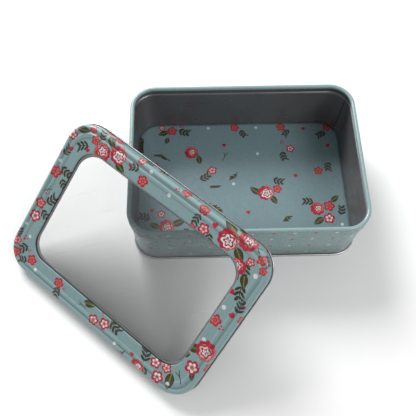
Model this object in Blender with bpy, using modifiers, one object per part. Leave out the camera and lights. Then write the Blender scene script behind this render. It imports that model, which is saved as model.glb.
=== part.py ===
"""A storage tin of printed tinplate: an open box with a rolled rim, and its window lid.

Metres, +Z up. The origin is the middle of the box's flat underside. The box is long in X.
The lid is off: one long edge of its skirt stands on the table, and its window leans on the
rolled rim of the box at the front left corner.
"""

import math

import bmesh
import bpy
from mathutils import Matrix, Vector

# Box, outside sizes over the rolled rim
BOX_LENGTH = 0.160
BOX_DEPTH = 0.114
BOX_HEIGHT = 0.050
CORNER_RADIUS = 0.017

# Tinplate and fits
SHEET = 0.0004
TOUCH_GAP = 0.0003
LID_CLEARANCE = 0.0004

# Box wall: rolled rim, recessed collar, stop bead for the lid, body
RIM_ROLL_RADIUS = 0.0015
COLLAR_INSET = 0.00035
COLLAR_DEPTH = 0.0085
STOP_BEAD_HALF_HEIGHT = 0.0009
BODY_INSET = 0.0010

# Side seam: one end of the wall strip steps in behind the other, at an angle round its corner
LAP_STEP = 0.00035
LAP_ANGLE = 34.0
LAP_STEP_ANGLE = 1.0
LAP_RUN_OUT = 24.0

# Bottom seam: the base panel hooks round a flange on the wall
SEAM_HEIGHT = 0.0021
SEAM_PROUD = 0.0002
SEAM_BEND_RADIUS = 0.0005
FLANGE_BEND_RADIUS = 0.0005

# Lid frame, measured in from its skirt and down from its top
LID_HEIGHT = 0.0090
SKIRT_CURL_RADIUS = 0.0007
SHOULDER_RADIUS = 0.0024
GROOVE_CENTRE = 0.0043
GROOVE_DEPTH = 0.00075
RIDGE_CENTRE = 0.0064
RIDGE_HALF_WIDTH = 0.0004
RIDGE_FLANK = 0.0007
BAND_DROP = 0.0005
BAND_WIDTH = 0.0152
WINDOW_CORNER_RADIUS = 0.0135
LIP_BEND_RADIUS = 0.0006
LIP_DEPTH = 0.0007
LID_GROWTH = LID_CLEARANCE + SHEET
LIP_END = -BAND_DROP - LIP_DEPTH

# Window film and the ring that holds it up against the frame
FILM_TOP = LIP_END - TOUCH_GAP
FILM_THICKNESS = 0.0003
FILM_OVERLAP = 0.0055
RING_OVERLAP = 0.0065
RING_SHOW = 0.0014
RING_BEAD_RADIUS = 0.0006

# Where the lid leans
LID_YAW = -40.3
LID_TILT = 34.8
LEAN_POINT_X = -0.00695

CORNER_STEPS = 6
SHARP_ANGLE = 50


def clear_scene():
    for old in list(bpy.data.objects):
        bpy.data.objects.remove(old, do_unlink=True)


def make_material(name, colour, roughness, metallic, alpha=1.0):
    material = bpy.data.materials.new(name)
    material.use_nodes = True
    shader = material.node_tree.nodes["Principled BSDF"]
    shader.inputs["Base Color"].default_value = (*colour, 1.0)
    shader.inputs["Roughness"].default_value = roughness
    shader.inputs["Metallic"].default_value = metallic
    shader.inputs["Alpha"].default_value = alpha
    material.diffuse_color = (*colour, alpha)
    return material


def arc(centre, radius, start, end, steps):
    """Points of a profile arc, (offset, height), with angles in degrees."""
    turns = [math.radians(start + (end - start) * step / steps) for step in range(steps + 1)]
    return [(centre[0] + radius * math.cos(t), centre[1] + radius * math.sin(t)) for t in turns]


def corner_angles(extra=()):
    """The directions, in degrees, in which a rounded rectangle's points face, corner by corner."""
    angles = []
    for corner in range(4):
        even = [90.0 * corner + 90.0 * step / CORNER_STEPS for step in range(CORNER_STEPS + 1)]
        added = [a for a in extra if 90.0 * corner < a < 90.0 * (corner + 1)]
        angles.append(sorted(set(even + added)))
    return angles


def outline(half_x, half_y, radius, angles, inset=None):
    """Points of a rounded rectangle; inset gives each direction's own step inwards."""
    signs = ((1, 1), (-1, 1), (-1, -1), (1, -1))
    points = []
    for (sign_x, sign_y), corner in zip(signs, angles):
        for angle in corner:
            reach = radius - (inset(angle) if inset else 0.0)
            turn = math.radians(angle)
            points.append((
                sign_x * (half_x - radius) + reach * math.cos(turn),
                sign_y * (half_y - radius) + reach * math.sin(turn),
            ))
    return points


def loft_sheet(name, sections, material, capped=False):
    """A sheet metal shell: rounded rectangles at rising or falling heights, given SHEET thickness."""
    bm = bmesh.new()
    previous = None
    for points, height in sections:
        loop = [bm.verts.new((x, y, height)) for x, y in points]
        if previous is None and capped:
            bm.faces.new(loop)
        if previous is not None:
            for i in range(len(loop)):
                bm.faces.new((previous[i - 1], previous[i], loop[i], loop[i - 1]))
        previous = loop
    bmesh.ops.recalc_face_normals(bm, faces=bm.faces)
    piece = add_mesh_object(name, bm, material)
    shell = piece.modifiers.new("Sheet", "SOLIDIFY")
    shell.thickness = SHEET
    shell.offset = 0.0
    shell.use_even_offset = True
    return piece


def add_mesh_object(name, bm, material):
    mesh = bpy.data.meshes.new(name)
    bm.to_mesh(mesh)
    bm.free()
    mesh.materials.append(material)
    mesh.shade_smooth()
    mesh.set_sharp_from_angle(angle=math.radians(SHARP_ANGLE))
    piece = bpy.data.objects.new(name, mesh)
    tin.objects.link(piece)
    return piece


def box_section(angles, offset, inset=None):
    """The box's outline, grown by offset from the outside of its rolled rim."""
    half_x = BOX_LENGTH / 2 + offset
    half_y = BOX_DEPTH / 2 + offset
    return outline(half_x, half_y, CORNER_RADIUS + offset, angles, inset)


def lid_section(angles, offset):
    """The lid's outline, grown by offset from the outside of its skirt."""
    grown = LID_GROWTH + offset
    radius = max(CORNER_RADIUS + grown, WINDOW_CORNER_RADIUS)
    return outline(BOX_LENGTH / 2 + grown, BOX_DEPTH / 2 + grown, radius, angles)


def lap_inset(angle):
    """The side seam's lap: one end of the wall strip steps in behind the other, then eases out."""
    past = angle - LAP_ANGLE
    if past < LAP_STEP_ANGLE or past > LAP_RUN_OUT:
        return 0.0
    return LAP_STEP * (LAP_RUN_OUT - past) / (LAP_RUN_OUT - LAP_STEP_ANGLE)


def build_box_wall(material):
    """The wall is one strip bent round the box, its ends lapped at the back right corner."""
    half_sheet = SHEET / 2
    roll_centre = (-RIM_ROLL_RADIUS, BOX_HEIGHT - RIM_ROLL_RADIUS)
    rim_roll = arc(roll_centre, RIM_ROLL_RADIUS - half_sheet, 240, -40, 8)
    collar = -COLLAR_INSET - half_sheet
    body = -BODY_INSET - half_sheet
    collar_top = rim_roll[-1][1] - SHEET
    lap_top = collar_top - 2 * SHEET
    stop = BOX_HEIGHT - COLLAR_DEPTH
    bead = STOP_BEAD_HALF_HEIGHT
    stop_bead = [
        (collar, stop + bead),
        (-half_sheet, stop + bead / 3),
        (-half_sheet, stop - bead / 3),
        (body, stop - bead),
    ]
    flange_height = SHEET + TOUCH_GAP + half_sheet
    flange_edge = SEAM_PROUD - SHEET - TOUCH_GAP
    bend = (body + FLANGE_BEND_RADIUS, flange_height + FLANGE_BEND_RADIUS)
    flange = arc(bend, FLANGE_BEND_RADIUS, 180, 270, 3) + [(flange_edge, flange_height)]
    lap_foot = SEAM_HEIGHT + SHEET
    plain_top = rim_roll + [(collar, collar_top)]
    lapped = [(collar, lap_top)] + stop_bead + [(body, lap_foot + SHEET)]
    plain_foot = [(body, lap_foot)] + flange
    sections = [(box_section(BOX_ANGLES, o), z) for o, z in plain_top]
    sections += [(box_section(BOX_ANGLES, o, lap_inset), z) for o, z in lapped]
    sections += [(box_section(BOX_ANGLES, o), z) for o, z in plain_foot]
    return loft_sheet("box_wall", sections, material)


def build_base_panel(material):
    """The flat base, whose edge turns up and hooks over the wall's flange."""
    half_sheet = SHEET / 2
    radius = SEAM_BEND_RADIUS
    side = SEAM_PROUD - half_sheet
    lower = arc((side - radius, half_sheet + radius), radius, -90, 0, 3)
    upper = arc((side - radius, SEAM_HEIGHT - half_sheet - radius), radius, 0, 90, 3)
    hook_edge = -BODY_INSET + TOUCH_GAP
    floor_edge = -CORNER_RADIUS / 2
    profile = [(floor_edge, half_sheet)] + lower + upper
    profile += [(hook_edge, SEAM_HEIGHT - half_sheet)]
    sections = [(box_section(BOX_ANGLES, o), z) for o, z in profile]
    return loft_sheet("base_panel", sections, material, capped=True)


def build_lid_frame(material):
    """The drawn frame: curled skirt edge, skirt, shoulder, groove, ridge, band and turned-in lip."""
    half_sheet = SHEET / 2
    curl_radius = SKIRT_CURL_RADIUS - half_sheet
    curl_centre = (-half_sheet + curl_radius, SKIRT_CURL_RADIUS - LID_HEIGHT)
    curl = arc(curl_centre, curl_radius, 80, -180, 6)
    shoulder_centre = (-SHOULDER_RADIUS, -SHOULDER_RADIUS)
    shoulder = arc(shoulder_centre, SHOULDER_RADIUS - half_sheet, 0, 90, 4)
    groove_floor = -half_sheet - GROOVE_DEPTH
    band = -half_sheet - BAND_DROP
    ridge_outer = -RIDGE_CENTRE + RIDGE_HALF_WIDTH
    ridge_inner = -RIDGE_CENTRE - RIDGE_HALF_WIDTH
    relief = [
        (-GROOVE_CENTRE + RIDGE_HALF_WIDTH, groove_floor),
        (-GROOVE_CENTRE - RIDGE_HALF_WIDTH, groove_floor),
        (ridge_outer, -half_sheet),
        (ridge_inner, -half_sheet),
        (ridge_inner - RIDGE_FLANK, band),
    ]
    bend_radius = LIP_BEND_RADIUS - half_sheet
    bend_centre = (-BAND_WIDTH + LIP_BEND_RADIUS, band - bend_radius)
    lip = arc(bend_centre, bend_radius, 90, 180, 3)
    lip += [(lip[-1][0], LIP_END)]
    sections = [(lid_section(PLAIN_ANGLES, o), z) for o, z in curl + shoulder + relief + lip]
    return loft_sheet("lid_frame", sections, material)


def build_window_film(material):
    """The clear window, a flat sheet trapped between the frame and the ring."""
    bm = bmesh.new()
    points = lid_section(PLAIN_ANGLES, -BAND_WIDTH + FILM_OVERLAP)
    bm.faces.new([bm.verts.new((x, y, FILM_TOP)) for x, y in points])
    piece = add_mesh_object("window_film", bm, material)
    film = piece.modifiers.new("Film", "SOLIDIFY")
    film.thickness = FILM_THICKNESS
    film.offset = -1.0
    return piece


def build_window_ring(material):
    """The bare tinplate ring under the film, its inner edge rolled under into a bead."""
    half_sheet = SHEET / 2
    bead_radius = RING_BEAD_RADIUS - half_sheet
    ring_height = FILM_TOP - FILM_THICKNESS - TOUCH_GAP - half_sheet
    bead_centre = (-BAND_WIDTH - RING_SHOW + RING_BEAD_RADIUS, ring_height - bead_radius)
    bead = arc(bead_centre, bead_radius, 90, 340, 6)
    profile = [(-BAND_WIDTH + RING_OVERLAP, ring_height)] + bead
    sections = [(lid_section(PLAIN_ANGLES, o), z) for o, z in profile]
    return loft_sheet("window_ring", sections, material)


def lid_placement():
    """The lid's place: its low skirt edge on the table and its window on the rim's near corner."""
    turn = Matrix.Rotation(math.radians(LID_YAW), 3, "Z")
    along = turn @ Vector((1, 0, 0))
    up_slope = turn @ Vector((0, 1, 0))
    tilt = math.radians(LID_TILT)
    normal = math.cos(tilt) * Vector((0, 0, 1)) - math.sin(tilt) * up_slope
    curl_y = -(BOX_DEPTH / 2 + LID_GROWTH - SHEET + SKIRT_CURL_RADIUS)
    curl_z = SKIRT_CURL_RADIUS - LID_HEIGHT
    height = SKIRT_CURL_RADIUS + TOUCH_GAP
    height -= curl_y * math.sin(tilt) + curl_z * math.cos(tilt)
    corner_x = CORNER_RADIUS - BOX_LENGTH / 2
    corner_y = CORNER_RADIUS - BOX_DEPTH / 2
    corner = Vector((corner_x, corner_y, BOX_HEIGHT - RIM_ROLL_RADIUS))
    lean = corner - up_slope * (CORNER_RADIUS - RIM_ROLL_RADIUS) + normal * RIM_ROLL_RADIUS
    film_under = FILM_TOP - FILM_THICKNESS
    reach = film_under - TOUCH_GAP - lean.dot(normal) + math.cos(tilt) * height
    place = along * (lean.dot(along) - LEAN_POINT_X)
    place += up_slope * reach / math.sin(tilt)
    place.z = height
    spin = turn @ Matrix.Rotation(tilt, 3, "X")
    return Matrix.Translation(place) @ spin.to_4x4()


BOX_ANGLES = corner_angles((LAP_ANGLE, LAP_ANGLE + LAP_STEP_ANGLE, LAP_ANGLE + LAP_RUN_OUT))
PLAIN_ANGLES = corner_angles()

clear_scene()
tin = bpy.data.collections.new("window_lid_tin")
bpy.context.scene.collection.children.link(tin)

box_wall = build_box_wall(make_material("Printed wall sheet", (0.23, 0.34, 0.34), 0.35, 0.0))
base_panel = build_base_panel(make_material("Printed base sheet", (0.20, 0.29, 0.31), 0.35, 0.0))
lid_frame = build_lid_frame(make_material("Printed lid sheet", (0.25, 0.37, 0.37), 0.30, 0.0))
window_film = build_window_film(make_material("Clear film", (0.9, 0.9, 0.9), 0.05, 0.0, 0.15))
window_ring = build_window_ring(make_material("Bare tinplate", (0.60, 0.60, 0.61), 0.30, 1.0))

lid = bpy.data.objects.new("lid_seat", None)
tin.objects.link(lid)
lid.matrix_world = lid_placement()
for lid_piece in (lid_frame, window_film, window_ring):
    lid_piece.parent = lid
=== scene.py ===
import math

import bmesh
import bpy
import numpy as np
from mathutils import Matrix, Vector


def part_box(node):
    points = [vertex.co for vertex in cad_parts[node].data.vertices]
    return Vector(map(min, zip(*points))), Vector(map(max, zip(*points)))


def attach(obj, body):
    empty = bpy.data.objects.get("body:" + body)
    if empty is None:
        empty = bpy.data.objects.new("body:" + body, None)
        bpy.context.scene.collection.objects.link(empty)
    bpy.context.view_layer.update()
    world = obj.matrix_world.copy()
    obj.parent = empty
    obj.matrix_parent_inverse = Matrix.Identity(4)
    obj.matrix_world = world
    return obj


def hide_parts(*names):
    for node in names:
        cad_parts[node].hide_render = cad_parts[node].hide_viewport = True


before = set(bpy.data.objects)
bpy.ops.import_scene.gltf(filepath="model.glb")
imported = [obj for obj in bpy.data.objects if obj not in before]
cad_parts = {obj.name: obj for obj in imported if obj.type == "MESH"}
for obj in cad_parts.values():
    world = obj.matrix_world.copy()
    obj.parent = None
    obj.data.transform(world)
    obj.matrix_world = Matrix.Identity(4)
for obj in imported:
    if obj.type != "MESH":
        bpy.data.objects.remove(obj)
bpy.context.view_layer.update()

# ---------------------------------------------------------------------------------------------
# Box wall. One strip of tinplate, printed outside and lacquered grey inside, is bent round and
# seamed at the back right corner. Its top is rolled inwards for the rim, a bead below the
# collar stops the closed lid, and its foot is turned out to a flange that the base hooks round.

# Sizes are in millimetres. A row of a sheet is (offset outwards, height, wear and shading), where
# that value is 1 on the most exposed edge, paled as wear and as a painted highlight, and below 0
# where the sheet is darkened as dust and as painted shade.
MM = 0.001
SHEET = 0.4
CORNER_RADIUS = 17.0
SHARP_ANGLE = math.radians(50)

wall_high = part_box("box_wall")[1] / MM
HALF_LENGTH = wall_high.x
HALF_DEPTH = wall_high.y
RIM_TOP = wall_high.z

RIM_ROLL_CENTRE = (-1.5, RIM_TOP - 1.5)
RIM_ROLL_RADIUS = 1.3
COLLAR_OFFSET = -0.55
STOP_BEAD_OFFSET = -0.2
BODY_OFFSET = -1.2
STOP_HEIGHT = RIM_TOP - 8.5
FLANGE_CENTRE = (-0.7, 1.4)
BEND_RADIUS = 0.5
LEAST_RADIUS = 0.3
LAP_STEP = 0.35
LAP_ANGLE = 34.0
LAP_STEP_ANGLE = 1.0
LAP_RUN_OUT = 24.0
LAP_TOP = 46.46
LAP_FOOT = 2.9
BEAD_HALF_HEIGHT = 0.9
UNDER_BEAD = STOP_HEIGHT - 2.0
MID_HEIGHT = 25.0
FLANGE_REACH = 0.7
WALL_CORNER_STEPS = 18
WALL_SIDE_STEPS = (8, 6)

# Wear and shading values of the wall: the top of the rim roll and the stop bead are paled as wear and
# as a painted highlight, the collar just under the roll and the underside of the bead get painted
# shade, and the foot and its seam are darkened by dust.
RIM_WEAR_AND_HIGHLIGHT = 0.8
RIM_UNDERSIDE_RUB = 0.1
COLLAR_SHADE = -0.75
BEAD_WEAR_AND_HIGHLIGHT = 0.7
UNDER_BEAD_SHADE_AND_FOOT_DUST = -0.6
SEAM_DUST = -0.8

TEAL = (0.205, 0.315, 0.322, 1.0)
BRICK_RED = (0.36, 0.050, 0.040, 1.0)
OFF_WHITE = (0.60, 0.61, 0.61, 1.0)
BARE_TIN = (0.56, 0.56, 0.57, 1.0)
DULL_TIN = (0.44, 0.44, 0.455, 1.0)
TARNISH = (0.20, 0.19, 0.18, 1.0)
# This colour darkens hollows as dust and as painted shade.
GRIME_AND_SHADE = (0.030, 0.033, 0.034, 1.0)
LACQUER_GREY = (0.150, 0.147, 0.153, 1.0)
WORN_LACQUER = (0.21, 0.205, 0.21, 1.0)
SEAM_DARK = (0.020, 0.020, 0.021, 1.0)
CHALKY = (0.55, 0.62, 0.60, 1.0)
SOOT = (0.04, 0.05, 0.05, 1.0)
# This colour pales high edges as wear and as a painted highlight.
PALE_WEAR_AND_HIGHLIGHT = (0.62, 0.72, 0.71, 1.0)

DOT_ROWS = 12.5
FIRST_ROW = 45.5
WALL_COLUMNS = 38
COLUMN_PHASE = 1.5
WALL_HEART = 1.45
WALL_DOT = 1.15


def arc(centre, radius, start, end, steps):
    """Points of a profile arc, (offset, height), with angles in degrees."""
    turns = [math.radians(start + (end - start) * step / steps) for step in range(steps + 1)]
    return [(centre[0] + radius * math.cos(t), centre[1] + radius * math.sin(t)) for t in turns]


def ease(start, end, steps):
    """Points of a soft S from one profile point to another, without the first."""
    points = []
    for step in range(1, steps + 1):
        along = step / steps
        share = along * along * (3 - 2 * along)
        points.append((start[0] + (end[0] - start[0]) * share, start[1] + (end[1] - start[1]) * along))
    return points


def swell(start, end, steps):
    """Like ease, for a profile that runs along the sheet instead of up it."""
    points = []
    for step in range(1, steps + 1):
        along = step / steps
        share = along * along * (3 - 2 * along)
        points.append((start[0] + (end[0] - start[0]) * along, start[1] + (end[1] - start[1]) * share))
    return points


def outline(half_x, half_y, radius, corner_steps, side_steps, extra=(), inset=None):
    """Points round a rounded rectangle, each (x, y, way outwards), starting at its right side."""
    signs = ((1, 1), (-1, 1), (-1, -1), (1, -1))
    corners = []
    for corner, (sign_x, sign_y) in enumerate(signs):
        angles = {90.0 * corner + 90.0 * step / corner_steps for step in range(corner_steps + 1)}
        angles |= {a for a in extra if 90.0 * corner < a < 90.0 * (corner + 1)}
        points = []
        for angle in sorted(angles):
            way = Vector((math.cos(math.radians(angle)), math.sin(math.radians(angle))))
            reach = radius - (inset(angle) if inset else 0.0)
            middle = Vector((sign_x * (half_x - radius), sign_y * (half_y - radius)))
            points.append((*(middle + way * reach), way))
        corners.append(points)
    loop = []
    for corner, points in enumerate(corners):
        loop += points
        start, end = points[-1], corners[(corner + 1) % 4][0]
        steps = side_steps[corner % 2]
        for step in range(1, steps):
            share = step / steps
            loop.append((
                start[0] + (end[0] - start[0]) * share,
                start[1] + (end[1] - start[1]) * share,
                start[2],
            ))
    return loop


def add_sheet(name, loops, materials, body, replaced, flip=False, capped=False, place=None):
    """Sheet metal through loops of (point, place in the print, wear and shading value), printed on its
    outer side.
    """
    bm = bmesh.new()
    print_layer = bm.verts.layers.float_vector.new("print_place")
    wear_and_shading_layer = bm.verts.layers.float.new("wear_and_shading")
    previous = None
    for loop in loops:
        verts = []
        for point, print_place, wear_and_shading in loop:
            vert = bm.verts.new(point)
            vert[print_layer] = print_place
            vert[wear_and_shading_layer] = wear_and_shading
            verts.append(vert)
        if previous is None and capped:
            bm.faces.new(verts[::-1] if not flip else verts)
        if previous is not None:
            for i in range(len(verts)):
                face = (previous[i - 1], previous[i], verts[i], verts[i - 1])
                bm.faces.new(face[::-1] if flip else face)
        previous = verts
    mesh = bpy.data.meshes.new(name)
    bm.to_mesh(mesh)
    bm.free()
    mesh.transform((place or Matrix.Identity(4)) @ Matrix.Scale(MM, 4))
    mesh.shade_smooth()
    mesh.set_sharp_from_angle(angle=SHARP_ANGLE)
    for material in materials:
        mesh.materials.append(material)
    piece = bpy.data.objects.new(name, mesh)
    bpy.context.scene.collection.objects.link(piece)
    sheet = piece.modifiers.new("Sheet", "SOLIDIFY")
    sheet.thickness = SHEET * MM
    sheet.offset = 0.0
    sheet.use_even_offset = True
    sheet.material_offset = 1
    sheet.material_offset_rim = 1
    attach(piece, body)
    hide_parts(replaced)
    return piece


def feed(tree, socket, value):
    """Sets a socket to a number or a colour, or links another node's output to it."""
    if isinstance(value, bpy.types.NodeSocket):
        tree.links.new(value, socket)
    else:
        socket.default_value = value


def calc(tree, operation, *values):
    """A Math node's result."""
    node = tree.nodes.new("ShaderNodeMath")
    node.operation = operation
    for socket, value in zip(node.inputs, values):
        feed(tree, socket, value)
    return node.outputs[0]


def layer_colour(tree, share, under, over):
    """The colour under, covered by the colour over where share is 1."""
    node = tree.nodes.new("ShaderNodeMix")
    node.data_type = "RGBA"
    feed(tree, node.inputs[0], share)
    feed(tree, node.inputs[6], under)
    feed(tree, node.inputs[7], over)
    return node.outputs[2]


def noise(tree, place, scale, detail=2.0, stretch=None):
    """A Noise Texture's value at a place."""
    if stretch:
        mapping = tree.nodes.new("ShaderNodeMapping")
        mapping.inputs["Scale"].default_value = stretch
        feed(tree, mapping.inputs["Vector"], place)
        place = mapping.outputs[0]
    node = tree.nodes.new("ShaderNodeTexNoise")
    feed(tree, node.inputs["Vector"], place)
    node.inputs["Scale"].default_value = scale
    node.inputs["Detail"].default_value = detail
    return node.outputs[0]


def spread(tree, value, low, high, to_low=0.0, to_high=1.0):
    """A value stretched from one range to another, and kept inside it."""
    node = tree.nodes.new("ShaderNodeMapRange")
    for socket, number in zip(node.inputs, (value, low, high, to_low, to_high)):
        feed(tree, socket, number)
    return node.outputs[0]


def new_group(name, inputs, outputs):
    """A shader node group, with its inputs' outputs by name and a function that feeds its outputs."""
    group = bpy.data.node_groups.new(name, "ShaderNodeTree")
    for socket_name, kind in inputs:
        group.interface.new_socket(socket_name, in_out="INPUT", socket_type=kind)
    for socket_name, kind in outputs:
        group.interface.new_socket(socket_name, in_out="OUTPUT", socket_type=kind)
    given = group.nodes.new("NodeGroupInput").outputs
    wanted = group.nodes.new("NodeGroupOutput").inputs
    return group, given, wanted


def use_group(tree, group, **values):
    """Places a node group and feeds its inputs; returns its outputs."""
    node = tree.nodes.new("ShaderNodeGroup")
    node.node_tree = group
    for socket_name, value in values.items():
        feed(tree, node.inputs[socket_name], value)
    return node.outputs


def attribute(tree, name):
    """A named attribute of the mesh; its outputs are colour, vector, value and alpha."""
    node = tree.nodes.new("ShaderNodeAttribute")
    node.attribute_name = name
    return node.outputs


def split(tree, vector):
    """The x, y and z of a vector."""
    node = tree.nodes.new("ShaderNodeSeparateXYZ")
    feed(tree, node.inputs[0], vector)
    return node.outputs


def length(tree, x, y):
    """The distance of (x, y) from the origin."""
    squares = calc(tree, "ADD", calc(tree, "MULTIPLY", x, x), calc(tree, "MULTIPLY", y, y))
    return calc(tree, "SQRT", squares)


def object_place(tree):
    """The place on the piece, in metres in its own frame."""
    return tree.nodes.new("ShaderNodeTexCoord").outputs["Object"]


def new_material(name):
    """A new material, with its node tree and its Principled shader."""
    material = bpy.data.materials.new(name)
    material.use_nodes = True
    return material, material.node_tree, material.node_tree.nodes["Principled BSDF"]


def add_bump(tree, shader, height, distance):
    """Dents the shader's normal by a height between 0 and 1, times a distance in metres."""
    bump = tree.nodes.new("ShaderNodeBump")
    bump.inputs["Distance"].default_value = distance
    feed(tree, bump.inputs["Height"], height)
    tree.links.new(bump.outputs[0], shader.inputs["Normal"])


def heart_mask(tree, x, y):
    """1 inside a heart of half-width 1, its point downwards."""
    side = calc(tree, "ABSOLUTE", x)
    lobes = calc(tree, "MULTIPLY", calc(tree, "SQRT", side), 0.75)
    middle = calc(tree, "SUBTRACT", lobes, 0.25)
    lifted = calc(tree, "SUBTRACT", calc(tree, "MULTIPLY", y, 1.1), middle)
    return calc(tree, "LESS_THAN", length(tree, side, lifted), 0.95)


# Wear and painted light on printed enamel: a slow drift of tone, hollows darkened as dust and as
# painted shade, high edges paled as wear and as a painted highlight, and bare specks where a high edge
# is rubbed.
enamel_wear_and_shading, given, wanted = new_group(
    "Enamel wear and painted shading",
    [("Colour", "NodeSocketColor"), ("Rub", "NodeSocketFloat"), ("Place", "NodeSocketVector")],
    [
        ("Colour", "NodeSocketColor"),
        ("Bare", "NodeSocketFloat"),
        ("Roughness", "NodeSocketFloat"),
        ("Height", "NodeSocketFloat"),
    ],
)
drift = noise(enamel_wear_and_shading, given["Place"], 45.0, 3.0)
grain = noise(enamel_wear_and_shading, given["Place"], 2600.0, 2.0)
chalk = spread(enamel_wear_and_shading, drift, 0.35, 0.68, 0.0, 0.03)
tone = layer_colour(enamel_wear_and_shading, chalk, given["Colour"], CHALKY)
tone = layer_colour(enamel_wear_and_shading, spread(enamel_wear_and_shading, grain, 0.3, 0.7, 0.0, 0.05), tone, SOOT)
# Hollows, where the value is below 0, are darkened as dust and as painted shade.
dust_and_shade_strength = spread(enamel_wear_and_shading, drift, 0.3, 0.6, 0.45, 0.8)
dust_and_shade = calc(enamel_wear_and_shading, "MULTIPLY", spread(enamel_wear_and_shading, given["Rub"], 0.0, -1.0), dust_and_shade_strength)
tone = layer_colour(enamel_wear_and_shading, dust_and_shade, tone, GRIME_AND_SHADE)
# High edges, where the value is above 0.3, are paled as wear and as a painted highlight.
pale_wear_and_highlight = spread(enamel_wear_and_shading, given["Rub"], 0.3, 1.0, 0.0, 0.14)
tone = layer_colour(enamel_wear_and_shading, pale_wear_and_highlight, tone, PALE_WEAR_AND_HIGHLIGHT)
specks = noise(enamel_wear_and_shading, given["Place"], 900.0, 4.0)
patches = noise(enamel_wear_and_shading, given["Place"], 120.0, 2.0)
exposed = spread(enamel_wear_and_shading, given["Rub"], 0.55, 1.0)
edge = calc(enamel_wear_and_shading, "MULTIPLY", exposed, spread(enamel_wear_and_shading, patches, 0.52, 0.66))
bare = calc(enamel_wear_and_shading, "GREATER_THAN", calc(enamel_wear_and_shading, "MULTIPLY", edge, specks), 0.50)
feed(enamel_wear_and_shading, wanted["Colour"], layer_colour(enamel_wear_and_shading, bare, tone, BARE_TIN))
feed(enamel_wear_and_shading, wanted["Bare"], bare)
rough = spread(enamel_wear_and_shading, noise(enamel_wear_and_shading, given["Place"], 260.0, 4.0), 0.3, 0.75, 0.22, 0.40)
feed(enamel_wear_and_shading, wanted["Roughness"], calc(enamel_wear_and_shading, "ADD", rough, calc(enamel_wear_and_shading, "MULTIPLY", dust_and_shade, 0.3)))
peel = calc(enamel_wear_and_shading, "MULTIPLY", noise(enamel_wear_and_shading, given["Place"], 1400.0, 2.0), 0.35)
feed(enamel_wear_and_shading, wanted["Height"], calc(enamel_wear_and_shading, "SUBTRACT", peel, bare))


def enamel_material(name, paint):
    """Glossy printed enamel; paint(tree) gives the print's colour."""
    material, tree, shader = new_material(name)
    colour = paint(tree)
    # Each row's wear and shading value drives the wear, the painted shade and the painted highlight.
    wear_and_shading = attribute(tree, "wear_and_shading")[2]
    worn_and_shaded = use_group(tree, enamel_wear_and_shading, Colour=colour, Rub=wear_and_shading, Place=object_place(tree))
    feed(tree, shader.inputs["Base Color"], worn_and_shaded["Colour"])
    feed(tree, shader.inputs["Metallic"], worn_and_shaded["Bare"])
    feed(tree, shader.inputs["Roughness"], worn_and_shaded["Roughness"])
    shader.inputs["Coat Weight"].default_value = 0.15
    shader.inputs["Coat Roughness"].default_value = 0.12
    add_bump(tree, shader, worn_and_shaded["Height"], 0.00002)
    return material


ARC_LENGTH = math.pi * CORNER_RADIUS / 2
LONG_STRAIGHT = 2 * (HALF_LENGTH - CORNER_RADIUS)
SHORT_STRAIGHT = 2 * (HALF_DEPTH - CORNER_RADIUS)
PERIMETER = 4 * ARC_LENGTH + 2 * LONG_STRAIGHT + 2 * SHORT_STRAIGHT
FRONT_MIDDLE = 3 * ARC_LENGTH + 1.5 * LONG_STRAIGHT + SHORT_STRAIGHT
SEAM_RUN = ARC_LENGTH * (LAP_ANGLE + LAP_STEP_ANGLE / 2) / 90 - FRONT_MIDDLE
NICK = Vector((-79.0, 11.0, 49.6)) * MM
NICK_RADIUS = 1.3 * MM
NICK_RAGGEDNESS = 1.2 * MM


def wall_print(tree):
    """Small hearts and dots in turn, four rows high, on teal, and the nick in the left rim."""
    run, height, _ = split(tree, attribute(tree, "print_place")[1])
    pitch = PERIMETER / WALL_COLUMNS
    columns = calc(tree, "DIVIDE", calc(tree, "SUBTRACT", run, COLUMN_PHASE), pitch)
    column = calc(tree, "ROUND", columns)
    rows = calc(tree, "DIVIDE", calc(tree, "SUBTRACT", FIRST_ROW, height), DOT_ROWS)
    row = calc(tree, "ROUND", rows)
    x = calc(tree, "MULTIPLY", calc(tree, "SUBTRACT", columns, column), pitch)
    y = calc(tree, "MULTIPLY", calc(tree, "SUBTRACT", row, rows), DOT_ROWS)
    odd = calc(tree, "PINGPONG", calc(tree, "ADD", column, row), 1.0)
    heart_x = calc(tree, "DIVIDE", x, WALL_HEART)
    heart_y = calc(tree, "DIVIDE", y, WALL_HEART)
    heart = heart_mask(tree, heart_x, heart_y)
    dot = calc(tree, "LESS_THAN", length(tree, x, y), WALL_DOT)
    colour = layer_colour(tree, calc(tree, "MULTIPLY", heart, odd), TEAL, BRICK_RED)
    dot = calc(tree, "MULTIPLY", dot, calc(tree, "SUBTRACT", 1.0, odd))
    colour = layer_colour(tree, dot, colour, OFF_WHITE)
    away = tree.nodes.new("ShaderNodeVectorMath")
    away.operation = "DISTANCE"
    feed(tree, away.inputs[0], object_place(tree))
    away.inputs[1].default_value = NICK
    ragged = calc(tree, "MULTIPLY", noise(tree, object_place(tree), 1500.0), NICK_RAGGEDNESS)
    nick = calc(tree, "LESS_THAN", calc(tree, "ADD", away.outputs["Value"], ragged), NICK_RADIUS)
    return layer_colour(tree, nick, colour, SEAM_DARK)


wall_enamel = enamel_material("Heart and dot enamel", wall_print)

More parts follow.
